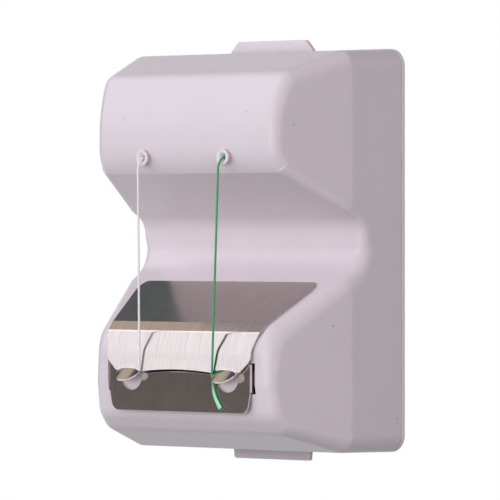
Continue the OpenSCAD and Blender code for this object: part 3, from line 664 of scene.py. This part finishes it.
def worked(mesh, added, taken):
    """The mesh after adding and then cutting away other solids."""
    tools, modifiers = [], []
    for k, bm in enumerate(added + taken):
        tool_mesh = bpy.data.meshes.new("tool")
        bm.to_mesh(tool_mesh)
        bm.free()
        tool = bpy.data.objects.new("tool", tool_mesh)
        scene.collection.objects.link(tool)
        tools.append(tool)
        operation = "UNION" if k < len(added) else "DIFFERENCE"
        modifiers.append(("BOOLEAN", {"operation": operation, "solver": "EXACT", "object": tool}))
    made = applied(mesh, modifiers)
    for tool in tools:
        bpy.data.objects.remove(tool)
    return made


cover_h = 2 * half_height
frame_depth, frame_thick = 12.2, 3.0
post_x, post_r, post_up, post_low, pilot_r = 33, 3.5, 187, 101, 1.3
post_from = frame_depth + frame_thick + 0.05
notch_half, notch_depth, notch_h = 30, 12.5, 6
ear_inner, ear_foot, ear_h = 48.965, 31, 14
front_from, front_to = 67.5, 80.5
added, taken = [], []
for side in (-1, 1):
    post = sorted((side * (post_x - post_r), side * (post_x + post_r)))
    added += [box_cutter(*post, post_from, 26.2, post_up - 4, cover_h - 2.6),
              bore_cutter(side * post_x, post_low, post_from, 25.6, post_r)]
# notches for the thumb tabs
for z0, z1 in ((cover_h - notch_h, cover_h + 1), (-1, notch_h)):
    taken.append(box_cutter(-notch_half, notch_half, -1, notch_depth, z0, z1))
for side in (-1, 1):
    # slot for an ear of the cutter plate, and the relief behind a corner of its lip
    slot_x = sorted((side * (ear_inner - 1.2), side * (ear_inner + 2.9)))
    relief_x = sorted((side * 42.6, side * 47.6))
    taken += [bore_cutter(side * post_x, post_up, frame_depth, frame_depth + 12, pilot_r, 24),
              bore_cutter(side * post_x, post_low, frame_depth, frame_depth + 9, pilot_r, 24),
              bore_cutter(side * eyelet_x, eyelet_height, 63.3, 80.3, 3.05),
              box_cutter(*slot_x, front_from, front_to, ear_foot - 0.7, ear_foot + ear_h + 0.7),
              box_cutter(*relief_x, 70, front_to, 39.6, 47.5)]
# relief behind the lip's edge
taken.append(box_cutter(-25.6, 25.6, 70, front_to, 38.9, 43))
shell = worked(shell_mesh(skin(0), skin(wall)), added, taken)
piece = add_piece("cover_shell", shade(shell, 32), "cover", cover_abs)
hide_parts("cover")


# ---- Spool frame, axle and spools -----------------------------------------------------------
# A bracket of white ABS, screwed to the cover's posts, carries a zinc plated steel axle that is
# kept by a clip at each end. Two spools of white polypropylene turn on it, apart by a spacer and
# braked by a spring washer each.
inner_abs = moulded_finish("moulded_abs_white", "dedddb", "d6d5d3", 0.5, 0.7, 0.03)
for node, name, body, slot, edge, material in (
        ("spool_frame", "bracket", "cover", "inner_plastic", 0.5, inner_abs),
        ("spool_axle", "axle", "cover", "zinc_steel", 0.3, zinc_steel),
        ("axle_clips", "axle_clip_set", "cover", "spring_steel", 0.15, spring_steel),
        ("spool_spacer", "spacer", "cover", "inner_plastic", 0.3, inner_abs),
        ("drag_washer_left", "washer_left", "cover", "spring_steel", 0.12, spring_steel),
        ("drag_washer_right", "washer_right", "cover", "spring_steel", 0.12, spring_steel),
        ("spool_left", "bobbin_left", "spool_left", "inner_plastic", 0.35, inner_abs),
        ("spool_right", "bobbin_right", "spool_right", "inner_plastic", 0.35, inner_abs)):
    piece = add_piece(name, softened(node, edge), body, material)
    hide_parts(node)


# ---- Floss rolls ----------------------------------------------------------------------------
# The floss on each spool, wound side by side in level layers. The top layer is a wound thread
# round a plain core that stands for the layers below it.
roll_r, roll_half, core_r = 20.0, 13.45, 8.05
axle_depth, axle_height = 47, 163
for side, name, strand_row in ((-1, "left", strands[0]), (1, "right", strands[1])):
    node, material = "floss_roll_" + name, strand_row[6]
    centre = at(side * eyelet_x, axle_depth, axle_height)

    def lay_on_axle(p, centre=centre):
        return Vector((centre.x + p.z - roll_half / 1000 + 0.0006, centre.y + p.x, centre.z + p.y))

    top_layer = grown(winding, {"Turns": 22.0, "Height": 2 * (roll_half - 0.6) / 1000,
                                "Radius": (roll_r - 0.6) / 1000, "Wire": 0.0006, "Steps": 56,
                                "Material": material}, lay_on_axle)
    bm = bmesh.new()
    bm.from_mesh(top_layer)
    rings = []
    for x, r in ((-1, core_r), (-1, roll_r - 0.7), (1, roll_r - 0.7), (1, core_r)):
        turns = [2 * pi * j / 72 for j in range(72)]
        rings.append([bm.verts.new(centre + Vector((x * roll_half, r * cos(a), r * sin(a))) / 1000)
                      for a in turns])
    for i in range(4):
        for j in range(72):
            k = (j + 1) % 72
            bm.faces.new((rings[i][j], rings[i][k], rings[(i + 1) % 4][k], rings[(i + 1) % 4][j]))
    bmesh.ops.recalc_face_normals(bm, faces=bm.faces)
    bm.to_mesh(top_layer)
    bm.free()
    piece = add_piece("wound_floss_" + name, shade(top_layer, 50), "spool_" + name,
                      material)
    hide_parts(node)


# ---- Eyelets --------------------------------------------------------------------------------
# Turned guides of white acetal, pressed into the front of the cover. Each has a rolled rim, a
# funnel and a thin throat, so that the floss runs over no edge, and a push-on ring behind the wall.
acetal = moulded_finish("turned_acetal", "e8e0e4", "e3dbdf", 0.3, 0.8, 0.01)
neck_r, rim_r, throat_r = 3.0, 4.2, 1.0
outline = [(throat_r, eyelet_back + 0.6), (throat_r + 0.5, eyelet_back), (neck_r - 0.2, eyelet_back),
           (neck_r, eyelet_back + 0.2), (neck_r, 75.35), (rim_r - 0.45, 75.4)]
for k in range(9):
    a = radians(-70 + 180 * k / 8)
    outline.append((rim_r - 0.62 + 0.62 * cos(a), rim_depth - 0.62 + 0.62 * sin(a)))
for k in range(1, 11):
    a = radians(90 * k / 10)
    outline.append((rim_r - 1.0 - 2.2 * sin(a) ** 1.1, rim_depth - 0.05 - 3.4 * (1 - cos(a))))
outline.append((throat_r, rim_depth - 3.6))
for side, name in ((-1, "left"), (1, "right")):
    points, faces, around = [], [], 72
    for r, depth in outline:
        points += [at(side * eyelet_x + r * cos(2 * pi * j / around), depth,
                      eyelet_height + r * sin(2 * pi * j / around)) for j in range(around)]
    rings = len(outline)
    for i in range(rings):
        for j in range(around):
            k, m = (j + 1) % around, (i + 1) % rings
            faces.append((i * around + j, i * around + k, m * around + k, m * around + j))
    piece = add_piece("guide_" + name, shade(mesh_of(points, faces), 45), "cover",
                      acetal)
    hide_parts("eyelet_" + name)
    piece = add_piece("guide_ring_" + name, softened("eyelet_ring_" + name, 0.12), "cover",
                      spring_steel)
    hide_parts("eyelet_ring_" + name)


# ---- Cutter plate ---------------------------------------------------------------------------
# One sheet of brushed stainless steel, 0.9 mm thick, pressed to shape. It lies on the lower slope,
# is folded over the shelf and stands off the front as a lip. Two tongues are cut from it and bent
# outwards over half-moon windows, and an ear on each side is folded back into a slot of the cover.
sheet_t = 0.9
brushed_steel, tree, shader = new_finish("brushed_stainless_steel", Metallic=1.0, Roughness=0.14)
grain_map = add_node(tree, "ShaderNodeUVMap", {"uv_map": "grain"})
# brush lines run down the sheet. They are 0.1 mm wide, drawn 0.7 mm wide so that they show
stretch = add_node(tree, "ShaderNodeMapping", values={"Scale": (1.5, 0.035, 1)},
                   links={"Vector": grain_map.outputs["UV"]})
lines = add_node(tree, "ShaderNodeTexNoise", values={"Scale": 1, "Detail": 4, "Roughness": 0.7},
                 links={"Vector": stretch.outputs["Vector"]})
# handling haze, about 12 mm across
haze = add_node(tree, "ShaderNodeTexNoise", values={"Scale": 0.08, "Detail": 3},
                links={"Vector": grain_map.outputs["UV"]})
spread_lines = add_node(tree, "ShaderNodeMapRange", values={"From Min": 0.3, "From Max": 0.7},
                        links={"Value": lines.outputs["Fac"]})
tone = add_node(tree, "ShaderNodeMix", {"data_type": "RGBA"},
                {6: linear("b9b2ae"), 7: linear("d3cbc6")}, {0: spread_lines.outputs["Result"]})
rough = add_node(tree, "ShaderNodeMapRange", values={"To Min": 0.10, "To Max": 0.16},
                 links={"Value": haze.outputs["Fac"]})
bump = add_node(tree, "ShaderNodeBump", values={"Strength": 0.12, "Distance": 0.00004},
                links={"Height": lines.outputs["Fac"]})
tree.links.new(tone.outputs[2], shader.inputs["Base Color"])
# the slope is brushed coarser than the pressed front
place = add_node(tree, "ShaderNodeSeparateXYZ", links={0: grain_map.outputs["UV"]})
coarse = add_node(tree, "ShaderNodeMapRange", values={"From Min": 46, "From Max": 40, "To Max": 0.06},
                  links={"Value": place.outputs["Y"]})
rougher = add_node(tree, "ShaderNodeMath",
                   links={0: rough.outputs["Result"], 1: coarse.outputs["Result"]})
tree.links.new(rougher.outputs[0], shader.inputs["Roughness"])
tree.links.new(bump.outputs["Normal"], shader.inputs["Normal"])

slope = run(7)
shelf_turn = atan2(left(slope).y, left(slope).x)
shelf_mid = corner(8) - (left(slope) + Vector((1, 0))) * profile[8][2] / (1 + left(slope).x)


def fold_point(f1, f2, s):
    """Where tangents round the shelf cross, at shares f1 and f2 of its turn, s outside the cover."""
    a = shelf_turn * (1 - (f1 + f2) / 2)
    return shelf_mid + Vector((cos(a), sin(a))) * (profile[8][2] + s) / cos(shelf_turn * (f2 - f1) / 2)


low_half = half_width(77.5) - 12.1
bend_height, foot_height, lower_back = 52.0, 20.5, 77.55
sheet_top = corner(7) + slope * 17.4 + left(slope) * (sheet_t + 0.05)
sheet_corners = [(sheet_top, 0), (fold_point(0, 0.186, sheet_t + 0.05), 3),
                 (fold_point(0.186, 0.668, sheet_t + 0.35), 4),
                 (Vector((lip_depth - 1.3, bend_height)), 22), (Vector((lip_depth, lip_height)), 0)]


def rounded_line(corners, degrees_a_step, spacing):
    """Points and outward directions along a line with rounded corners, at close spacing."""
    line = []
    for i, (v, r) in enumerate(corners):
        if i in (0, len(corners) - 1):
            u = corners[1][0] - v if i == 0 else v - corners[i - 1][0]
            line.append((v, left(u.normalized())))
            continue
        u1, u2 = (v - corners[i - 1][0]).normalized(), (corners[i + 1][0] - v).normalized()
        turn = atan2(u1.x * u2.y - u1.y * u2.x, u1.dot(u2))
        steps = max(2, ceil(abs(degrees(turn)) / degrees_a_step))
        for j in range(steps + 1):
            a = atan2(u1.y, u1.x) + turn * j / steps
            line.append((rounding(v, u1, turn, r, j / steps), left(Vector((cos(a), sin(a))))))
    close = [line[0]]
    for (p, n), (q, m) in zip(line, line[1:]):
        steps = max(1, ceil((q - p).length / spacing))
        close += [(p.lerp(q, j / steps), n.lerp(m, j / steps).normalized())
                  for j in range(1, steps + 1)]
    return close


def round_corners(corners, steps=12):
    """Closed outline from corners with radii."""
    outline = []
    for i, (x, z, r) in enumerate(corners):
        near = (corners[i], corners[i - 1], corners[(i + 1) % len(corners)])
        v, a, b = (Vector(c[:2]) for c in near)
        if r == 0:
            outline.append(v)
            continue
        u1, u2 = (v - a).normalized(), (b - v).normalized()
        turn = atan2(u1.x * u2.y - u1.y * u2.x, u1.dot(u2))
        outline += [rounding(v, u1, turn, r, j / steps) for j in range(steps + 1)]
    return outline


def reach(outline, height):
    """Greatest distance from the middle at a height of an outline."""
    found = 0
    for a, b in zip(outline, outline[1:] + outline[:1]):
        low, high = min(a.y, b.y), max(a.y, b.y)
        if low - 1e-6 <= height <= high + 1e-6:
            level = high - low < 1e-9
            f = 0 if level else min(1, max(0, (height - a.y) / (b.y - a.y)))
            found = max(found, abs(a.x + (b.x - a.x) * f))
    return found


def sheet_mesh(line, width_at, thick, columns):
    """A bent sheet: outer points and directions along it, half width at each, thickness inwards."""
    points, faces, wide = [], [], 2 * columns + 1
    travelled, along = 0, []
    for i, (p, n) in enumerate(line):
        travelled += (p - line[i - 1][0]).length if i else 0
        along.append(travelled)
        half = width_at(p)
        for face_in in (0, thick):
            q = p - n * face_in
            points += [at(half * sin(pi / 2 * (j - columns) / columns), q.x, q.y)
                       for j in range(wide)]
    for i in range(len(line) - 1):
        a, b = 2 * i * wide, 2 * (i + 1) * wide
        for j in range(wide - 1):
            faces.append((a + j, a + j + 1, b + j + 1, b + j))
            faces.append((a + wide + j + 1, a + wide + j, b + wide + j, b + wide + j + 1))
        for j in (0, wide - 1):
            faces.append((a + j, b + j, b + wide + j, a + wide + j))
    for a in (0, 2 * (len(line) - 1) * wide):
        faces += [(a + j, a + j + 1, a + wide + j + 1, a + wide + j) for j in range(wide - 1)]
    mesh = mesh_of(points, faces)
    return mesh, list(zip([p for p, n in line], along))


def grain_of(mesh, line):
    """Writes the grain map: millimetres across and along the sheet."""
    layer = mesh.uv_layers.new(name="grain")
    spots = []
    for v in mesh.vertices:
        d, z = -v.co.y * 1000 - plate_thick, v.co.z * 1000 + half_height
        best = min(line, key=lambda s: (s[0].x - d) ** 2 + (s[0].y - z) ** 2)
        spots.append((v.co.x * 1000, best[1]))
    for loop in mesh.loops:
        layer.data[loop.index].uv = spots[loop.vertex_index]
    return mesh


fold_half = half_width(77.5) - 6.6
top_half = half_width(sheet_top.x) - 12.4
half_outline = [
    (-top_half, sheet_top.y, 3.5), (-fold_half, sheet_corners[1][0].y, 0),
    (-low_half - 1.3, bend_height, 0), (-low_half - 1.2, lip_height + 6.6, 3),
    (-low_half + 6.6, lip_height, 3)]
upper_outline = round_corners(half_outline + [(-x, z, r) for x, z, r in reversed(half_outline)])
line = rounded_line(sheet_corners, 2, 0.8)


def upper_width(p):
    return reach(upper_outline, p.y)


def lip_arch(across):
    """Rise of the lip's lower edge between the tongues, in mm."""
    return 1.5 * max(0, 1 - (across / 26.5) ** 2)


sheet_parts = []
mesh, places = sheet_mesh(line, upper_width, sheet_t, 24)
for v in mesh.vertices:
    above = v.co.z * 1000 + half_height - lip_height
    v.co.z += lip_arch(v.co.x * 1000) * min(1, max(0, 1 - above / 6)) / 1000
sheet_parts.append(grain_of(edge_rounded(mesh, 0.14), places))

# lower part, with the two windows, from flat curves that are filled and rounded
half_outline = [(-low_half, bend_height, 0), (-low_half, 30, 0), (-low_half + 2, foot_height, 5)]
low_outline = round_corners(half_outline + [(-x, z, r) for x, z, r in reversed(half_outline)])
flat = bpy.data.curves.new("flat", "CURVE")
flat.dimensions = "2D"
flat.fill_mode = "BOTH"
edge_r = 0.12
flat.extrude = (sheet_t / 2 - edge_r) / 1000
flat.bevel_depth = edge_r / 1000
flat.bevel_resolution = 1
flat.offset = -edge_r / 1000
tongue_x, window_r, window_z, slot_w = 34, 7.5, lip_height - 1.8, 1.1
# one opening behind the lip: the two windows, joined by the arched slot under its edge and run out
# to its corners
opening = [(-48.5, 47.4), (-48.5, 45.6), (-42.3, 39.6)]
for side in (-1, 1):
    opening += [(side * tongue_x + window_r * cos(a), window_z + window_r * sin(a))
                for a in (pi + pi * k / 32 for k in range(33))]
    if side < 0:
        opening += [(x, lip_height - slot_w + lip_arch(x)) for x in range(-26, 27, 2)]
opening += [(42.3, 39.6), (48.5, 45.6), (48.5, 47.4)]
loops = [low_outline, [Vector(p) for p in opening]]
for loop in loops:
    spline = flat.splines.new("POLY")
    spline.points.add(len(loop) - 1)
    for point, p in zip(spline.points, loop):
        point.co = (p.x / 1000, p.y / 1000, 0, 1)
    spline.use_cyclic_u = True
holder = bpy.data.objects.new("flat", flat)
scene.collection.objects.link(holder)
graph = bpy.context.evaluated_depsgraph_get()
lower = bpy.data.meshes.new_from_object(holder.evaluated_get(graph))
bpy.data.objects.remove(holder)
for v in lower.vertices:
    v.co = at(v.co.x * 1000, lower_back + sheet_t / 2 + v.co.z * 1000, v.co.y * 1000)
bm = bmesh.new()
bm.from_mesh(lower)
bmesh.ops.remove_doubles(bm, verts=bm.verts, dist=1e-6)
bmesh.ops.recalc_face_normals(bm, faces=bm.faces)
bm.to_mesh(lower)
bm.free()
down = [(Vector((sheet_face, bend_height - k)), 60 + k) for k in range(34)]
sheet_parts.append(grain_of(lower, down))

# tongues: each leaves the lip along an arched bend and turns outwards to 45 degrees
tongue_r, tongue_len, bend_len, columns, rows = 8.0, 10.6, 1.3, 16, 32
for side in (-1, 1):
    points, faces, wide, grain_places = [], [], 2 * columns + 1, []
    for j in range(wide):
        across = tongue_r * sin(pi / 2 * (j - columns) / columns)
        share = (across / tongue_r) ** 2
        bend_from = 2.6 - 1.9 * (1 - share)
        far = max(bend_from + 0.3, tongue_len - tongue_r + tongue_r * max(0, 1 - share) ** 0.5)
        p, travelled = Vector((lip_depth - 0.3, lip_height + 3.8)), 0
        for i in range(rows + 1):
            heading = radians(-83.7 + 38.7 * min(1, max(0, (travelled - bend_from) / bend_len)))
            ahead = Vector((cos(heading), sin(heading)))
            for face_in in (0, sheet_t):
                q = p - left(ahead) * face_in
                points.append(at(side * tongue_x + across, q.x, q.y))
            grain_places.append((p.copy(), travelled + 80))
            p, travelled = p + ahead * far / rows, travelled + far / rows
    tall = 2 * (rows + 1)
    for j in range(wide - 1):
        for i in range(rows):
            a, b = j * tall + 2 * i, (j + 1) * tall + 2 * i
            faces += [(a, b, b + 2, a + 2), (b + 1, a + 1, a + 3, b + 3)]
        a, b = j * tall, (j + 1) * tall
        faces += [(a, a + 1, b + 1, b), (a + tall - 2, b + tall - 2, b + tall - 1, a + tall - 1)]
    for a in (0, (wide - 1) * tall):
        faces += [(a + 2 * i, a + 2 * i + 2, a + 2 * i + 3, a + 2 * i + 1) for i in range(rows)]
    sheet_parts.append(grain_of(edge_rounded(mesh_of(points, faces), 0.14), grain_places[:rows + 1]))

# ears: strips that turn back from the lower part into the slots of the cover
for side in (-1, 1):
    outer = ear_inner + sheet_t
    turn_r, path = 1.5, []
    path.append((outer - 1.9, sheet_face + 0.01, 0, 1))
    for k in range(13):
        a = radians(90 - 90 * k / 12)
        path.append((outer - turn_r + turn_r * cos(a), sheet_face + 0.01 - turn_r + turn_r * sin(a),
                     cos(a), sin(a)))
    path.append((outer, 71.7, 1, 0))
    points, faces = [], []
    for x, d, nx, nd in path:
        for t in (0, sheet_t):
            for z in (ear_foot, ear_foot + ear_h):
                points.append(at(side * (x - nx * t), d - nd * t, z))
    for i in range(len(path) - 1):
        a, b = 4 * i, 4 * i + 4
        faces += [(a, a + 1, b + 1, b), (a + 3, a + 2, b + 2, b + 3), (a, b, b + 2, a + 2),
                  (a + 1, a + 3, b + 3, b + 1)]
    end = len(points)
    faces += [(0, 1, 3, 2), (end - 4, end - 3, end - 1, end - 2)]
    sheet_parts.append(grain_of(edge_rounded(mesh_of(points, faces), 0.12), down))

bm = bmesh.new()
for part in sheet_parts:
    bm.from_mesh(part)
joined = bpy.data.meshes.new("joined")
bm.to_mesh(joined)
bm.free()
piece = add_piece("cutting_sheet", shade(joined, 40), "cover", brushed_steel)
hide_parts("cutter_plate")
for name in ("left", "right"):
    piece = add_piece("ear_clip_" + name, softened("plate_clip_" + name, 0.2), "cover",
                      spring_steel)
    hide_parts("plate_clip_" + name)


# ---- Studio ---------------------------------------------------------------------------------
# A pale floor well below the dispenser, which hangs as on a wall, a white backdrop, three soft
# boxes, on the left, in front and on the right, and a dim room round them.
floor_mesh = bpy.data.meshes.new("floor")
floor_half, floor_z = 3, -0.42
floor_mesh.from_pydata([(x * floor_half, y * floor_half, floor_z)
                        for x, y in ((-1, -1), (1, -1), (1, 1), (-1, 1))], [], [(0, 1, 2, 3)])
floor = bpy.data.objects.new("floor", floor_mesh)
scene.collection.objects.link(floor)
pale_floor = bpy.data.materials.new("pale_painted_floor")
pale_floor.use_nodes = True
tree = pale_floor.node_tree
tree.nodes.clear()
seen = add_node(tree, "ShaderNodeLightPath")
seen_or_glossy = add_node(tree, "ShaderNodeMath", {"operation": "ADD"},
                          links={0: seen.outputs["Is Camera Ray"], 1: seen.outputs["Is Glossy Ray"]})
shown = add_node(tree, "ShaderNodeMath", {"operation": "ADD", "use_clamp": True},
                 links={0: seen_or_glossy.outputs[0], 1: seen.outputs["Is Transmission Ray"]})
lift = add_node(tree, "ShaderNodeMath", {"operation": "MULTIPLY"}, {1: 0.85}, {0: shown.outputs[0]})
paint = add_node(tree, "ShaderNodeBsdfDiffuse", values={"Color": linear("808083")})
glow = add_node(tree, "ShaderNodeEmission", values={"Color": (1, 1, 1, 1)},
                links={"Strength": lift.outputs[0]})
both = add_node(tree, "ShaderNodeAddShader", links={0: paint.outputs[0], 1: glow.outputs[0]})
add_node(tree, "ShaderNodeOutputMaterial", links={"Surface": both.outputs[0]})
floor_mesh.materials.append(pale_floor)

room = bpy.data.worlds.new("room")
scene.world = room
room.use_nodes = True
tree = room.node_tree
tree.nodes.clear()
seen = add_node(tree, "ShaderNodeLightPath")
direction = add_node(tree, "ShaderNodeTexCoord")
parts = add_node(tree, "ShaderNodeSeparateXYZ", links={0: direction.outputs["Generated"]})
# the backdrop stands behind the dispenser and reaches 30 degrees up
behind = add_node(tree, "ShaderNodeMapRange", values={"From Min": 0.25, "From Max": 0.5},
                  links={"Value": parts.outputs["Y"]})
under_top = add_node(tree, "ShaderNodeMapRange", values={"From Min": 0.55, "From Max": 0.4},
                     links={"Value": parts.outputs["Z"]})
backdrop = add_node(tree, "ShaderNodeMath", {"operation": "MULTIPLY"},
                    links={0: behind.outputs["Result"], 1: under_top.outputs["Result"]})
# a warm pale card on the left, half way up to overhead
card_way = add_node(tree, "ShaderNodeVectorMath", {"operation": "DOT_PRODUCT"},
                    {1: Vector((-0.72, -0.12, 0.685)).normalized()},
                    {0: direction.outputs["Generated"]})
card = add_node(tree, "ShaderNodeMapRange",
                values={"From Min": cos(radians(19)), "From Max": cos(radians(12))},
                links={"Value": card_way.outputs["Value"]})
# the room is bluish behind the dispenser and warmer in front of it
front = add_node(tree, "ShaderNodeMapRange", values={"From Min": -0.2, "From Max": -0.5},
                 links={"Value": parts.outputs["Y"]})
walls = add_node(tree, "ShaderNodeMix", {"data_type": "RGBA"},
                 {6: (0.075, 0.105, 0.125, 1), 7: (0.16, 0.143, 0.137, 1)},
                 {0: front.outputs["Result"]})
carded = add_node(tree, "ShaderNodeMix", {"data_type": "RGBA"},
                  {7: (0.71, 0.60, 0.50, 1)}, {0: card.outputs["Result"], 6: walls.outputs[2]})
mirrored = add_node(tree, "ShaderNodeMix", {"data_type": "RGBA"},
                    {7: (1, 1, 1, 1)}, {0: backdrop.outputs[0], 6: carded.outputs[2]})
glossy = add_node(tree, "ShaderNodeMath", {"operation": "ADD", "use_clamp": True},
                  links={0: seen.outputs["Is Glossy Ray"], 1: seen.outputs["Is Transmission Ray"]})
lit = add_node(tree, "ShaderNodeMix", {"data_type": "RGBA"}, {6: (0.47, 0.46, 0.475, 1)},
               {0: glossy.outputs[0], 7: mirrored.outputs[2]})
final = add_node(tree, "ShaderNodeMix", {"data_type": "RGBA"}, {7: (1, 1, 1, 1)},
                 {0: seen.outputs["Is Camera Ray"], 6: lit.outputs[2]})
light = add_node(tree, "ShaderNodeBackground", links={"Color": final.outputs[2]})
add_node(tree, "ShaderNodeOutputWorld", links={"Surface": light.outputs[0]})


def soft_box(name, place, width, height, watts, colour):
    lamp = bpy.data.lights.new(name, "AREA")
    lamp.shape = "RECTANGLE"
    lamp.size, lamp.size_y = width, height
    lamp.energy = watts
    lamp.color = linear(colour)[:3]
    holder = bpy.data.objects.new(name, lamp)
    holder.location = place
    holder.rotation_euler = (Vector((0, -0.04, 0)) - Vector(place)).to_track_quat("-Z", "Y").to_euler()
    scene.collection.objects.link(holder)


soft_box("key_box", (-1.02, -1.12, 0.74), 1.75, 1.42, 11, "f4f5ff")
soft_box("front_box", (0.2, -1.85, 0.0), 1.4, 1.2, 15, "ffffff")
soft_box("fill_box", (1.6, -0.9, 0.0), 1.2, 1.6, 7.5, "fff6f8")
